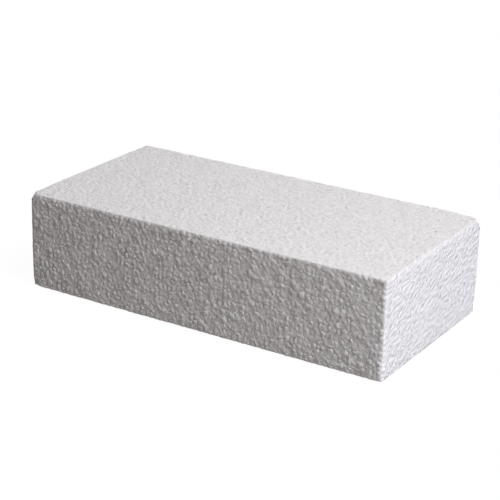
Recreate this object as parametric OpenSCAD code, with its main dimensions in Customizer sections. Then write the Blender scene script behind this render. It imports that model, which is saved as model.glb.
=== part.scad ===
// Foam block
//
// One solid block of expanded polystyrene, lying on its largest face.
// The origin is the middle of the underside. +X runs along the length, +Y towards the back
// and +Z up. All sizes are in millimetres.

/* [Block] */
// Length of the block, along X
block_length = 200; // [120:1:600]
// Width of the block, along Y
block_width = 100; // [60:1:300]
// Height of the block, along Z
block_height = 50; // [30:1:200]

/* [Edges] */
// Radius of the edges that run round the top and the bottom face
rim_radius = 1.5; // [0.5:0.1:3]
// Radius of the four upright edges
upright_radius = 2; // [0.5:0.1:3]

/* [Worn corners] */
// Wear at the front left top corner, measured along its diagonal from the sharp point
front_left_wear = 2.5; // [1.5:0.1:3]
// Wear at the back right top corner, measured along its diagonal from the sharp point
back_right_wear = 2.9; // [1.5:0.1:3]
// Radius of the ball shape that a worn corner is rubbed to
worn_radius = 14; // [14:0.5:20]

/* [Hidden] */
foam_white = [0.95, 0.95, 0.93];
// How far a shape that trims or cuts the block runs past the block's faces
overshoot = 5;
// Angle between an upright edge and the diagonal of the corner that it ends at
diagonal_angle = acos(1 / sqrt(3));
$fn = 96;

// A rectangle centred on the origin, with its four corners rounded by true arcs
module rounded_rectangle(size_x, size_y, radius) {
    square([size_x - 2 * radius, size_y], center = true);
    square([size_x, size_y - 2 * radius], center = true);
    for (side_x = [-1, 1], side_y = [-1, 1])
        translate([side_x * (size_x / 2 - radius), side_y * (size_y / 2 - radius)])
            circle(r = radius);
}

// The block with every edge rounded, standing on z = 0: the space that three long bars with
// rounded edges share, one bar along each axis
module rounded_block() {
    translate([0, 0, block_height / 2])
        intersection() {
            linear_extrude(height = block_height + 2 * overshoot, center = true)
                rounded_rectangle(block_length, block_width, upright_radius);
            rotate([90, 0, 0])
                linear_extrude(height = block_width + 2 * overshoot, center = true)
                    rounded_rectangle(block_length, block_height, rim_radius);
            rotate([90, 0, 90])
                linear_extrude(height = block_length + 2 * overshoot, center = true)
                    rounded_rectangle(block_width, block_height, rim_radius);
        }
}

// Puts its children at a sharp top corner of the block, with their +Z along the corner's
// diagonal, into the foam. side_x is -1 for left and 1 for right, side_y -1 for front and
// 1 for back.
module at_top_corner(side_x, side_y) {
    translate([side_x * block_length / 2, side_y * block_width / 2, block_height])
        rotate([0, 180 - diagonal_angle, atan2(-side_y, -side_x)])
            children();
}

// What the wear takes off a corner: all that lies outside a ball on the corner's diagonal.
// Half the ball's radius is wide enough for the hollow disc to clear the corner's three edges.
module worn_away(wear) {
    rotate_extrude()
        difference() {
            translate([0, -overshoot])
                square([worn_radius / 2, overshoot + wear + worn_radius]);
            translate([0, wear + worn_radius])
                circle(r = worn_radius);
        }
}

module foam_block() {
    color(foam_white)
        difference() {
            rounded_block();
            at_top_corner(-1, -1) worn_away(front_left_wear);
            at_top_corner(1, 1) worn_away(back_right_wear);
        }
}

foam_block();
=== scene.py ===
"""The looks of the foam block: its skin of pressed beads, the white foam, and a plain studio round it."""

import math
from collections import defaultdict

import bpy
import numpy as np
from mathutils import Matrix, Vector, kdtree, noise
from mathutils.bvhtree import BVHTree


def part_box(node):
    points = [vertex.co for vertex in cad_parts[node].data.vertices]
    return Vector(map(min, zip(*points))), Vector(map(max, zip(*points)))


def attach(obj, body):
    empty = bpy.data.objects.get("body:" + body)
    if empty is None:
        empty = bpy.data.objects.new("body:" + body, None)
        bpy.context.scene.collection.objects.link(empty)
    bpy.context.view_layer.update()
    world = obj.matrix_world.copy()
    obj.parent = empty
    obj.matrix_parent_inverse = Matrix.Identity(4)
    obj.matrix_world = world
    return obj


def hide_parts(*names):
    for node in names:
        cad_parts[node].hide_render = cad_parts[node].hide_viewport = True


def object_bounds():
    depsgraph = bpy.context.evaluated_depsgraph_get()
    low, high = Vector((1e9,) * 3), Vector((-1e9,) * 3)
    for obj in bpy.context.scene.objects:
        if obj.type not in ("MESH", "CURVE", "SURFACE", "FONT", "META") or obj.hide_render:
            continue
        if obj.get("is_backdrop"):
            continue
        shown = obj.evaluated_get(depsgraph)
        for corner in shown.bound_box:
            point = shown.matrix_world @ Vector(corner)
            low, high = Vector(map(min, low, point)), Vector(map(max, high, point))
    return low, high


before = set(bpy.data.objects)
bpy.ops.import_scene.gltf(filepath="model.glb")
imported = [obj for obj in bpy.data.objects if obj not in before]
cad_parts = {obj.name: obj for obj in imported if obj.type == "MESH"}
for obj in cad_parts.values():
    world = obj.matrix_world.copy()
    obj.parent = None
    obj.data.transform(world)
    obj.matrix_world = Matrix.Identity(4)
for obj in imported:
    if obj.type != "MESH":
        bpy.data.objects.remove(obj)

CAD_NODE = "foam_block"
CAD_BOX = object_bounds()
MM = 0.001  # the lengths below are in millimetres, and Blender's are in metres

# --- Beads ---
SEED = 11
BEAD_STEP = 2.6  # one bead is started in each cube of about this size along the faces
BEAD_RADIUS = 1.4
RADIUS_SPREAD = 0.12  # standard deviation of the radii, as a share of the radius
SMALLEST_BEAD, LARGEST_BEAD = 0.6, 1.45  # as shares of the radius
TOP_DEPTH, DEEP_DEPTH = 0.85, 1.7  # the middles of the beads that show lie between these depths
PUSH_ROUNDS = 8  # rounds of pushing apart the beads that overlap
PUSH_REACH = 2.9  # beads further apart than this many radii aren't looked at for that
SHELL = 4.6  # only beads whose middle is nearer a face than this are looked at for that face
REACH = 7.5  # no bead touches one whose middle is further than this, along the face
SHORTEST_SIDE = 0.45  # shorter sides of a bead's outline are closed up
SHOULDER = 0.54  # how far inside its outline a bead starts to drop to the groove
MOST_SHOULDER = 0.5  # the same as a share of the way to the bead's middle, on a small bead

# --- Relief of the beads, before the factors below ---
GROOVE_DEPTH = 0.17  # of the grooves between beads, below the mean of the two beads
GROOVE_SPREAD = (0.6, 1.4)  # the least and the greatest, as shares of that depth
PIT_SHARE = 0.2  # share of the meeting points of three beads that are pits
PIT_DEPTH = 0.3  # the deepest pit, below the groove
BEAD_TILT = 0.145  # slope of the beads' faces along each axis, root mean square
BEAD_SINK = 0.34  # how far the lowest beads lie below the highest
MOST_DISH = 0.2  # how far the middle of the most dished bead lies below its mean height
MOST_DOME = 0.26  # how far the middle of the most domed bead stands above it
SHOULDER_DOME = 0.35  # share of the dish or dome that a bead's shoulder has
WAVE_DEPTH = 0.075  # of the slow waves in the block's faces, either way
WAVE_LENGTH = 7.0

# --- Where the relief lies on the block ---
TOP_RELIEF = 0.9  # the top and the underside are smoother than the long sides, by this factor
END_RELIEF = 0.5  # and so are the ends, but for the strokes across them
TOP_STROKES = 0.5  # the strokes on the top and the underside, as a share of those on the ends
MEAN_DEPTH = 0.05  # of the whole relief, below the CAD's faces
MOST_PROUD = 0.45  # the furthest that a bead stands out, before the factors here
EDGE_RELIEF = 0.3  # the relief is lower along the block's edges, by this factor
EDGE_REACH = 2.0  # and rises to its full depth this far from them
EDGE_LIFT = 0.4  # share of the way that the edges stand out from the CAD's to sharp ones
MOST_LIFT = 0.25  # and the furthest, so that the worn corners stay worn
LIFT_FROM = 1 / 3  # the lift fades out under this share of the height, as the bottom edges are rubbed

# Spots that are rubbed down further than the CAD's corners: the place as shares of the block's length,
# width and height from the front, left, bottom corner, then how far the wear reaches and its depth.
WORN_SPOTS = {
    "top edge by the back right corner": ((0.97, 1, 1), 8.0, 0.4),
    "left edge by the front corner": ((0, 0.1, 1), 6.0, 0.3),
    "bottom front left corner": ((0, 0, 0), 3.0, 0.6),
    "bottom front right corner": ((1, 0, 0), 2.0, 0.25),
}

BAKE_GAP = 4.0  # between the block's faces where they are laid out flat
TOUCH = 1e-4  # points nearer than this are on a plane
PLACE_DIGITS = 5  # outline corners that agree to so many decimals are the same point

# --- Foam ---
FOAM_TINT = (1.015, 1, 1.01)  # red, green and blue, as shares of the foam's brightness
BEAD_BRIGHTNESS = (0.845, 0.885)  # of the darkest and the lightest bead
GROOVE_SHADE_BRIGHTNESS = 0.93  # painted shade: the colour at the bottom of a groove, as a share of the bead's, darkened to stand for the shade there
GROOVE_SHADE_START = 0.3  # share of the way down a bead's shoulder where the painted groove shade starts
CELL_SIZE = 0.3  # of the cells inside a bead
CELL_BRIGHTNESS = (0.97, 1.03)
CELL_DEPTH = 0.025
NOISE_RANGE = (0.3, 0.7)  # nearly all values of a noise texture lie between these
ROUGHNESS = (0.45, 0.75)  # of the smoothest and the roughest cell
SPECULAR = 0.35
LUMP_SIZE, LUMP_DEPTH = 1.4, 0.65  # of the lumps and dents in each bead
STROKE_LENGTH, STROKE_WIDTH, STROKE_DEPTH = 2.8, 1.5, 1.1  # of the strokes across the ends
STROKE_ANGLE = 37  # degrees up from level, towards the back

# --- Camera, from the fit of the block's corners in the photo ---
AZIMUTH, ELEVATION, ROLL = 31.35, 21.03, 1.56  # degrees; the azimuth is from the front, to the right
AIM_RIGHT, AIM_UP, CAMERA_DISTANCE = -0.49, 24.42, 794.74  # from the middle of the block's underside
FOCAL_LENGTH, SENSOR_WIDTH = 113.515, 36

# --- Studio ---
FLOOR_HALF = 6.0  # metres
FLOOR_GAP = 0.05  # keeps the floor out of the underside's faces
FLOOR_GREY = 0.08  # the floor's own colour, which takes little light
FLOOR_GLOW = 0.95  # the light that it gives off to the camera, which makes it nearly white
SOFTBOX_SIZE = 0.55  # side of a softbox, as a share of its distance
SOFTBOX_DISTANCE = 0.9  # metres
DIM_LIGHT = 0.06  # strength of the light from the sky and the sides
DIM_LIGHT_BELOW = 0.3  # and from straight below
DIM_LIGHT_EDGE = 0.2  # sine of the height over which the light is no longer brighter towards the floor
DIM_LIGHT_TINT = (1.12, 1, 0.95, 1)
WHITE = (1, 1, 1, 1)


def main():
    block = build_block(np.random.default_rng(SEED))
    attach(block, "root")
    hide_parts(CAD_NODE)
    block.data.materials.append(foam_material())
    build_floor()
    build_camera()
    build_lights()
    build_world()
    show_plain_colours()
    write_sizes()


# ---------------------------------------------------------------- beads

def settled_beads(rng, low, high):
    """The middles and radii of the beads that show: a layer along the six faces, started at random
    and pushed apart as in a full mould."""
    counts = np.round((high - low) / BEAD_STEP).astype(int)
    grid = np.stack(np.meshgrid(*[np.arange(n) for n in counts], indexing="ij"), -1).reshape(-1, 3)
    grid = grid[np.any((grid == 0) | (grid == counts - 1), axis=1)]
    beads = low + (grid + rng.random(grid.shape)) / counts * (high - low)
    sizes = np.clip(rng.normal(1, RADIUS_SPREAD, len(beads)), SMALLEST_BEAD, LARGEST_BEAD)
    radii = BEAD_RADIUS * sizes
    beads = in_layer(beads, low, high)
    for _ in range(PUSH_ROUNDS):
        beads = in_layer(pushed_apart(beads, radii), low, high)
    return beads, radii


def in_layer(beads, low, high):
    """The beads, with those too near a face or too deep moved back into the layer."""
    beads = np.clip(beads, low + TOP_DEPTH, high - TOP_DEPTH)
    depths = np.stack([beads - low, high - beads])
    for bead, depth in zip(beads, depths.transpose(1, 0, 2)):
        side, axis = np.unravel_index(depth.argmin(), depth.shape)
        if depth[side, axis] > DEEP_DEPTH:
            bead[axis] = low[axis] + DEEP_DEPTH if side == 0 else high[axis] - DEEP_DEPTH
    return beads


def tree_of(points):
    tree = kdtree.KDTree(len(points))
    for number, point in enumerate(points):
        tree.insert(point, number)
    tree.balance()
    return tree


def pushed_apart(beads, radii):
    """The beads, with each pair that overlaps moved apart until it only touches."""
    tree = tree_of(beads)
    first, second = [], []
    for i, bead in enumerate(beads):
        for _, j, _ in tree.find_range(bead, PUSH_REACH * BEAD_RADIUS):
            if j > i:
                first.append(i)
                second.append(j)
    gap = beads[second] - beads[first]
    distance = np.linalg.norm(gap, axis=1)
    overlap = np.maximum(radii[first] + radii[second] - distance, 0)
    push = gap * (overlap / distance / 2)[:, None]
    moved = beads.copy()
    np.add.at(moved, first, -push)
    np.add.at(moved, second, push)
    return moved


# ---------------------------------------------------------------- outlines of the beads

class Surface:
    """Points on the sharp-edged box round the block, each with its depth below the block's face."""

    def __init__(self, low, high):
        self.low, self.high = low, high
        self.size = high - low
        self.points, self.depths, self.numbers = [], [], {}

    def add(self, point, depth):
        self.points.append(np.asarray(point, float))
        self.depths.append(depth)
        return len(self.points) - 1

    def shared(self, point):
        """The number of the point here, which the outlines that meet here share."""
        key = tuple(np.round(point, PLACE_DIGITS))
        if key not in self.numbers:
            self.numbers[key] = self.add(point, 0.0)
        return self.numbers[key]

    def planes(self, number):
        """How many of the box's planes the point lies on: 1 on a face, 2 on an edge, 3 at a corner."""
        point = self.points[number]
        return int((np.abs(point - self.low) < TOUCH).sum() + (np.abs(point - self.high) < TOUCH).sum())

    def shares(self, number):
        """The point's place as shares of the box's length, width and height."""
        return (self.points[number] - self.low) / self.size

    def edge_relief(self, number):
        """The share of the relief that the point keeps, less near the box's edges."""
        point = self.points[number]
        off_planes = np.sort(np.concatenate([point - self.low, self.high - point]))
        share = min(off_planes[1] / EDGE_REACH, 1)
        return EDGE_RELIEF + (1 - EDGE_RELIEF) * share


def cut(outline, normal, limit):
    """The part of a convex outline where normal . point <= limit."""
    sides = [normal[0] * x + normal[1] * y - limit for x, y in outline]
    if max(sides) <= 0:
        return outline
    kept = []
    for k, (point, side) in enumerate(zip(outline, sides)):
        before, side_before = outline[k - 1], sides[k - 1]
        if (side > 0) != (side_before > 0):
            share = side_before / (side_before - side)
            kept.append((before[0] + (point[0] - before[0]) * share,
                         before[1] + (point[1] - before[1]) * share))
        if side <= 0:
            kept.append(point)
    return kept


def sections(beads, radii, axis, plane, low, high):
    """Where the box's face at beads[:, axis] == plane cuts through each bead: a bead's number and
    its outline in the face's two other axes. The sides lie where two beads press flat together."""
    across = [k for k in range(3) if k != axis]
    off = beads[:, axis] - plane
    near = np.nonzero(np.abs(off) < SHELL)[0]
    flat = beads[np.ix_(near, across)]
    power = (flat ** 2).sum(1) + off[near] ** 2 - radii[near] ** 2
    tree = tree_of([(*point, 0) for point in flat])
    (x0, y0), (x1, y1) = low[across], high[across]
    for i, middle in enumerate(flat):
        outline = [(x0, y0), (x1, y0), (x1, y1), (x0, y1)]
        around = sorted(tree.find_range((*middle, 0), REACH), key=lambda found: found[2])
        for _, j, _ in around:
            if j != i and outline:
                outline = cut(outline, 2 * (flat[j] - middle), power[j] - power[i])
        if len(outline) > 2:
            yield near[i], outline


def outlines_on_faces(surface, beads, radii):
    """Each bead that shows on a face, the face, and the numbers of its outline's corners."""
    low, high = surface.low, surface.high
    outlines = []
    for axis in range(3):
        across = [k for k in range(3) if k != axis]
        for side, plane in enumerate((low[axis], high[axis])):
            for bead, outline in sections(beads, radii, axis, plane, low, high):
                loop = []
                for place in outline:
                    point = np.empty(3)
                    point[axis], point[across] = plane, place
                    loop.append(surface.shared(point))
                if (side == 1) == (axis == 1):  # loops run anticlockwise seen from outside
                    loop.reverse()
                outlines.append((bead, (axis, side), loop))
    return outlines


def sides_of(loop):
    return zip(loop, loop[1:] + loop[:1])


def close_short_sides(surface, outlines):
    """Joins the ends of short sides, and returns the outlines that are left."""
    stands_for = {}

    def root(number):
        while number in stands_for:
            number = stands_for[number]
        return number

    for _, _, loop in outlines:
        for a, b in sides_of(loop):
            a, b = root(a), root(b)
            if a == b or np.linalg.norm(surface.points[a] - surface.points[b]) >= SHORTEST_SIDE:
                continue
            planes_a, planes_b = surface.planes(a), surface.planes(b)
            if planes_a < planes_b:
                a, b = b, a
            elif planes_a == planes_b == 1:
                surface.points[a] = (surface.points[a] + surface.points[b]) / 2
            stands_for[b] = a
    kept = []
    for bead, face, loop in outlines:
        loop = [root(number) for number in loop]
        loop = [number for k, number in enumerate(loop) if number != loop[k - 1]]
        if len(set(loop)) > 2:
            kept.append((bead, face, loop))
    return kept


def beads_round(outlines):
    """The beads at each side and at each corner of the outlines."""
    at_side, at_corner = defaultdict(set), defaultdict(set)
    for bead, _, loop in outlines:
        for a, b in sides_of(loop):
            at_side[frozenset((a, b))].add(bead)
            at_corner[a].add(bead)
    return at_side, at_corner


# ---------------------------------------------------------------- relief of the beads

class BeadShapes:
    """How each bead is pressed: its shade, how low it lies, how domed or dished and how tilted it is."""

    def __init__(self, rng, count):
        self.tone = rng.random(count)
        self.sink = BEAD_SINK * rng.random(count)
        self.dome = rng.uniform(-MOST_DISH, MOST_DOME, count)
        self.lean = rng.normal(size=(count, 3)) * BEAD_TILT

    def mean_sink(self, beads):
        return self.sink[sorted(beads)].mean()


def lower_corners(surface, at_corner, shapes, rng):
    """Sets the outlines' corners down in the grooves, and some of them in pits."""
    for number in sorted(at_corner):
        pit = PIT_DEPTH * rng.random() if rng.random() < PIT_SHARE else 0.0
        groove = GROOVE_DEPTH * rng.uniform(*GROOVE_SPREAD)
        surface.depths[number] = shapes.mean_sink(at_corner[number]) + groove + pit


def points_on_edges(surface, at_side, shapes):
    """The points added along the sides that lie on the block's edges, where one bead turns the edge:
    a list for each side, from its lower-numbered end."""
    added = {}
    for side, beads in at_side.items():
        if len(beads) > 1:
            continue
        first, last = (surface.points[number] for number in sorted(side))
        length = np.linalg.norm(last - first)
        shares = (0.5,) if length < 4 * SHOULDER else (SHOULDER / length, 1 - SHOULDER / length)
        sink = shapes.mean_sink(beads)
        added[side] = [surface.add(first + (last - first) * share, sink) for share in shares]
    return added


def rim_of(loop, added):
    """The points all round a bead's outline."""
    rim = []
    for a, b in sides_of(loop):
        between = added.get(frozenset((a, b)), [])
        rim += [a, *(between if a < b else reversed(between))]
    return rim


def bead_triangles(surface, rim, bead, shapes):
    """A bead's triangles: a shoulder that drops to its rim, round a dished or domed middle."""
    corners = np.array([surface.points[number] for number in rim])
    middle = corners.mean(0)
    sink, dome, lean = shapes.sink[bead], shapes.dome[bead], shapes.lean[bead]
    ring = []
    for corner in corners:
        reach = np.linalg.norm(corner - middle)
        place = corner + (middle - corner) * min(SHOULDER / max(reach, TOUCH), MOST_SHOULDER)
        ring.append(surface.add(place, sink - SHOULDER_DOME * dome + lean @ (place - middle)))
    centre = surface.add(middle, sink - dome)
    triangles = []
    for k in range(len(rim)):
        a, b, c, d = rim[k - 1], rim[k], ring[k - 1], ring[k]
        triangles += [(a, b, d), (a, d, c), (c, d, centre)]
    return triangles


def worn_away(surface, number):
    """How far the worn spots lower the surface at a point."""
    depth = 0.0
    for spot, reach, deepest in WORN_SPOTS.values():
        off = np.linalg.norm((surface.shares(number) - np.array(spot)) * surface.size)
        depth += deepest * math.exp(-(off / reach) ** 2)
    return depth


def settle_on_cad(surface, numbers):
    """The places of the points on the CAD's rounded block, with the relief cut in; and the share of
    the relief and of the strokes at each."""
    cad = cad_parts[CAD_NODE].data
    tree = BVHTree.FromPolygons([v.co for v in cad.vertices], [p.vertices for p in cad.polygons])
    depths = np.array([surface.depths[n] for n in numbers])
    depths += [WAVE_DEPTH * noise.noise(Vector(surface.points[n] / WAVE_LENGTH)) for n in numbers]
    depths = np.maximum(depths - depths.mean(), -MOST_PROUD)
    places, reliefs, strokes = [], [], []
    for number, depth in zip(numbers, depths):
        on_box = Vector(surface.points[number] * MM)
        on_block, normal, _, off = tree.find_nearest(on_box)
        outward = (on_box - on_block) / off if off > TOUCH * MM else normal
        smoother = (1 - TOP_RELIEF) * outward.z ** 2 + (1 - END_RELIEF) * outward.x ** 2
        relief = (1 - smoother) * surface.edge_relief(number)
        lift = min(EDGE_LIFT * off / MM, MOST_LIFT) * min(surface.shares(number)[2] / LIFT_FROM, 1)
        drop = MEAN_DEPTH + relief * depth + worn_away(surface, number) - lift
        place = on_block - outward * drop * MM
        place.z = max(place.z, surface.low[2] * MM)
        places.append(place)
        reliefs.append(relief)
        strokes.append(outward.x ** 2 + TOP_STROKES * outward.z ** 2)
    return places, reliefs, strokes


# ---------------------------------------------------------------- mesh of the block

def build_block(rng):
    low, high = (np.array(corner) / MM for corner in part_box(CAD_NODE))
    beads, radii = settled_beads(rng, low, high)
    surface = Surface(low, high)
    outlines = close_short_sides(surface, outlines_on_faces(surface, beads, radii))
    at_side, at_corner = beads_round(outlines)
    shapes = BeadShapes(rng, len(beads))
    lower_corners(surface, at_corner, shapes, rng)
    added = points_on_edges(surface, at_side, shapes)
    triangles, tones, faces = [], [], []
    for bead, face, loop in outlines:
        made = bead_triangles(surface, rim_of(loop, added), bead, shapes)
        triangles += made
        tones += [shapes.tone[bead]] * len(made)
        faces += [face] * len(made)
    used = sorted({number for triangle in triangles for number in triangle})
    places, reliefs, strokes = settle_on_cad(surface, used)
    mesh = mesh_of(places, used, triangles)
    # the points in the grooves between beads, whose colour is darkened as painted shade
    grooves = {number for side, beads in at_side.items() if len(beads) > 1 for number in side}
    add_attribute(mesh, "bead_tone", "FACE", tones)
    add_attribute(mesh, "groove", "POINT", [float(number in grooves) for number in used])
    add_attribute(mesh, "relief", "POINT", reliefs)
    add_attribute(mesh, "strokes", "POINT", strokes)
    lay_out_flat(mesh, surface, triangles, faces)
    block = bpy.data.objects.new("foam_block_surface", mesh)
    bpy.context.scene.collection.objects.link(block)
    return block


def mesh_of(places, used, triangles):
    order = {number: k for k, number in enumerate(used)}
    mesh = bpy.data.meshes.new("foam_block_surface")
    mesh.from_pydata(places, [], [[order[number] for number in triangle] for triangle in triangles])
    mesh.polygons.foreach_set("use_smooth", [True] * len(mesh.polygons))
    return mesh


def add_attribute(mesh, name, domain, values):
    mesh.attributes.new(name, "FLOAT", domain).data.foreach_set("value", values)


def lay_out_flat(mesh, surface, triangles, faces):
    """Lays the block's six faces side by side in the square that its looks are baked to."""
    length, width, height = surface.size + BAKE_GAP
    layout = {  # the axes along the square, and where the face's two copies start
        2: ((0, 1), (0, 0), (0, width)),
        1: ((2, 0), (length, 0), (length + height, 0)),
        0: ((1, 2), (0, 2 * width), (width, 2 * width)),
    }
    square = length + 2 * height
    places = []
    for triangle, (axis, side) in zip(triangles, faces):
        axes, *starts = layout[axis]
        for number in triangle:
            along = (surface.points[number] - surface.low)[list(axes)]
            places.extend((along + starts[side] + BAKE_GAP / 2) / square)
    mesh.uv_layers.new(name="OFBake").data.foreach_set("uv", places)


# ---------------------------------------------------------------- nodes

def set_inputs(tree, node, inputs):
    """Sets each of these inputs to a value, or links it to an output. Returns the node."""
    for name, value in inputs.items():
        if isinstance(value, bpy.types.NodeSocket):
            tree.links.new(value, node.inputs[name])
        else:
            node.inputs[name].default_value = value
    return node


def add_node(tree, kind, inputs):
    return set_inputs(tree, tree.nodes.new(kind), inputs)


def attribute(tree, name):
    node = tree.nodes.new("ShaderNodeAttribute")
    node.attribute_name = name
    return node.outputs["Fac"]


def spread(tree, value, ends, new_ends):
    """The value, moved from between two numbers to between two others, and held there."""
    inputs = {"Value": value}
    inputs["From Min"], inputs["From Max"] = ends
    inputs["To Min"], inputs["To Max"] = new_ends
    return add_node(tree, "ShaderNodeMapRange", inputs).outputs["Result"]


def times(tree, first, second):
    node = add_node(tree, "ShaderNodeMath", {0: first, 1: second})
    node.operation = "MULTIPLY"
    return node.outputs["Value"]


def grain(tree, place, size, detail, roughness):
    inputs = {"Vector": place, "Scale": 1 / (size * MM), "Detail": detail, "Roughness": roughness}
    return add_node(tree, "ShaderNodeTexNoise", inputs).outputs["Fac"]


def bump(tree, height, depth, **inputs):
    """A normal raised where the height is greater. Strength is how much of the bump each point takes,
    and Normal the normal that it is added to."""
    node = add_node(tree, "ShaderNodeBump", {"Height": height, "Distance": depth * MM, **inputs})
    return node.outputs["Normal"]


# ---------------------------------------------------------------- foam

def foam_material():
    material = bpy.data.materials.new("white_bead_foam")
    material.use_nodes = True
    tree = material.node_tree
    place = tree.nodes.new("ShaderNodeTexCoord").outputs["Object"]
    cells = grain(tree, place, CELL_SIZE, detail=1, roughness=0.5)
    inputs = {
        "Base Color": foam_colour(tree, cells),
        "Roughness": spread(tree, cells, NOISE_RANGE, ROUGHNESS),
        "Specular IOR Level": SPECULAR,
        "Normal": foam_normal(tree, place, cells),
    }
    set_inputs(tree, tree.nodes["Principled BSDF"], inputs)
    return material


def foam_colour(tree, cells):
    """The foam's white, with a tone of its own in each bead and cell, and painted shade darkening the
    grooves.
    """
    beads = spread(tree, attribute(tree, "bead_tone"), (0, 1), BEAD_BRIGHTNESS)
    # painted shade: the colour gets darker towards the bottom of each groove
    grooves = spread(tree, attribute(tree, "groove"), (GROOVE_SHADE_START, 1), (1, GROOVE_SHADE_BRIGHTNESS))
    cells = spread(tree, cells, NOISE_RANGE, CELL_BRIGHTNESS)
    brightness = times(tree, times(tree, beads, grooves), cells)
    channels = {number: times(tree, brightness, tint) for number, tint in enumerate(FOAM_TINT)}
    return add_node(tree, "ShaderNodeCombineColor", channels).outputs["Color"]


def foam_normal(tree, place, cells):
    """The lumps in the beads, the strokes over them, and the cells over both."""
    lumps = grain(tree, place, LUMP_SIZE, detail=2, roughness=0.7)
    lumpy = bump(tree, lumps, LUMP_DEPTH, Strength=attribute(tree, "relief"))
    strength = attribute(tree, "strokes")
    stroked = bump(tree, strokes(tree, place), -STROKE_DEPTH, Strength=strength, Normal=lumpy)
    return bump(tree, cells, CELL_DEPTH, Normal=stroked)


def strokes(tree, place):
    """The distance from the middle of the nearest of many short strokes, which lie side by side in
    the end faces at an angle up from level."""
    size = Vector((STROKE_LENGTH, STROKE_LENGTH, STROKE_WIDTH)) * MM
    turn = (math.radians(STROKE_ANGLE), 0, 0)
    turned = add_node(tree, "ShaderNodeMapping", {"Vector": place, "Rotation": turn, "Scale": size})
    turned.vector_type = "TEXTURE"
    inputs = {"Vector": turned.outputs["Vector"], "Scale": 1}
    return add_node(tree, "ShaderNodeTexVoronoi", inputs).outputs["Distance"]


# ---------------------------------------------------------------- studio

def build_floor():
    """A pale floor that fades into the background, and neither lights nor shades the block."""
    mesh = bpy.data.meshes.new("floor")
    ends = (-FLOOR_HALF, FLOOR_HALF)
    corners = [(x, y, -FLOOR_GAP * MM) for y in ends for x in ends]
    mesh.from_pydata(corners, [], [(0, 1, 3, 2)])
    mesh.materials.append(floor_material())
    floor = bpy.data.objects.new("floor", mesh)
    bpy.context.scene.collection.objects.link(floor)
    floor.visible_diffuse = False
    floor.visible_glossy = False
    floor.visible_shadow = False
    floor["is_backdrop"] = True


def floor_material():
    material = bpy.data.materials.new("pale_floor")
    material.use_nodes = True
    inputs = {
        "Base Color": (FLOOR_GREY, FLOOR_GREY, FLOOR_GREY, 1),
        "Specular IOR Level": 0,
        "Emission Color": WHITE,
        "Emission Strength": FLOOR_GLOW,
    }
    set_inputs(material.node_tree, material.node_tree.nodes["Principled BSDF"], inputs)
    return material


def build_camera():
    azimuth, elevation, roll = (math.radians(angle) for angle in (AZIMUTH, ELEVATION, ROLL))
    level = Vector((math.sin(azimuth), -math.cos(azimuth), 0))
    back = level * math.cos(elevation) + Vector((0, 0, math.sin(elevation)))
    right = Vector((math.cos(azimuth), math.sin(azimuth), 0))
    up = back.cross(right)
    right, up = (right * math.cos(roll) + up * math.sin(roll),
                 up * math.cos(roll) - right * math.sin(roll))
    camera = bpy.data.objects.new("camera", bpy.data.cameras.new("camera"))
    camera.data.sensor_width = SENSOR_WIDTH
    camera.data.lens = FOCAL_LENGTH
    place = (AIM_RIGHT * right + AIM_UP * up + CAMERA_DISTANCE * back) * MM
    axes = Matrix((right, up, back)).transposed()
    camera.matrix_world = Matrix.Translation(place) @ axes.to_4x4()
    bpy.context.scene.collection.objects.link(camera)
    bpy.context.scene.camera = camera


def add_softbox(name, azimuth, elevation, power, colour=(1, 1, 1), distance=SOFTBOX_DISTANCE):
    """A square light that faces the block. The angles are in degrees, the azimuth from the block's
    right towards its back, and the power is in watts."""
    azimuth, elevation = math.radians(azimuth), math.radians(elevation)
    level = Vector((math.cos(azimuth), math.sin(azimuth), 0))
    direction = level * math.cos(elevation) + Vector((0, 0, math.sin(elevation)))
    light = bpy.data.lights.new(name, "AREA")
    light.shape = "SQUARE"
    light.size = SOFTBOX_SIZE * distance
    light.energy = power
    light.color = colour
    softbox = bpy.data.objects.new(name, light)
    softbox.location = (CAD_BOX[0] + CAD_BOX[1]) / 2 + direction * distance
    softbox.rotation_mode = "QUATERNION"
    softbox.rotation_quaternion = direction.to_track_quat("Z", "Y")
    softbox.visible_camera = False
    bpy.context.scene.collection.objects.link(softbox)


def build_lights():
    """One strong light high on the right, one level with the right end, and weak ones all round."""
    add_softbox("key", azimuth=-19, elevation=52.5, power=6.45, colour=(1.01, 1, 1))
    add_softbox("front right", azimuth=-50, elevation=3, power=0.28, distance=0.5)
    add_softbox("side", azimuth=0, elevation=-8, power=2.75, colour=(0.95, 1, 1.15))
    add_softbox("back right", azimuth=110, elevation=20, power=1.9, colour=(1, 1, 1.03))
    add_softbox("back left", azimuth=165, elevation=30, power=1.6, colour=(1, 1, 1.03))


def build_world():
    """Dim light from all round, brighter and warm from below, and white behind the block."""
    world = bpy.data.worlds.new("studio")
    bpy.context.scene.world = world
    world.use_nodes = True
    tree = world.node_tree
    direction = tree.nodes.new("ShaderNodeTexCoord").outputs["Generated"]
    height = add_node(tree, "ShaderNodeSeparateXYZ", {"Vector": direction}).outputs["Z"]
    strength = spread(tree, height, (-1, DIM_LIGHT_EDGE), (DIM_LIGHT_BELOW, DIM_LIGHT))
    inputs = {"Color": DIM_LIGHT_TINT, "Strength": strength}
    lighting = set_inputs(tree, tree.nodes["Background"], inputs)
    seen = add_node(tree, "ShaderNodeBackground", {"Color": WHITE})
    to_camera = tree.nodes.new("ShaderNodeLightPath").outputs["Is Camera Ray"]
    shaders = {1: lighting.outputs["Background"], 2: seen.outputs["Background"]}
    mix = add_node(tree, "ShaderNodeMixShader", {"Fac": to_camera, **shaders})
    set_inputs(tree, tree.nodes["World Output"], {"Surface": mix.outputs["Shader"]})


def show_plain_colours():
    bpy.context.scene.view_settings.view_transform = "Standard"


def write_sizes():
    boxes = {"cad_box": CAD_BOX, "visual_box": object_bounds()}
    sizes = {name: [list(corner) for corner in box] for name, box in boxes.items()}


main()
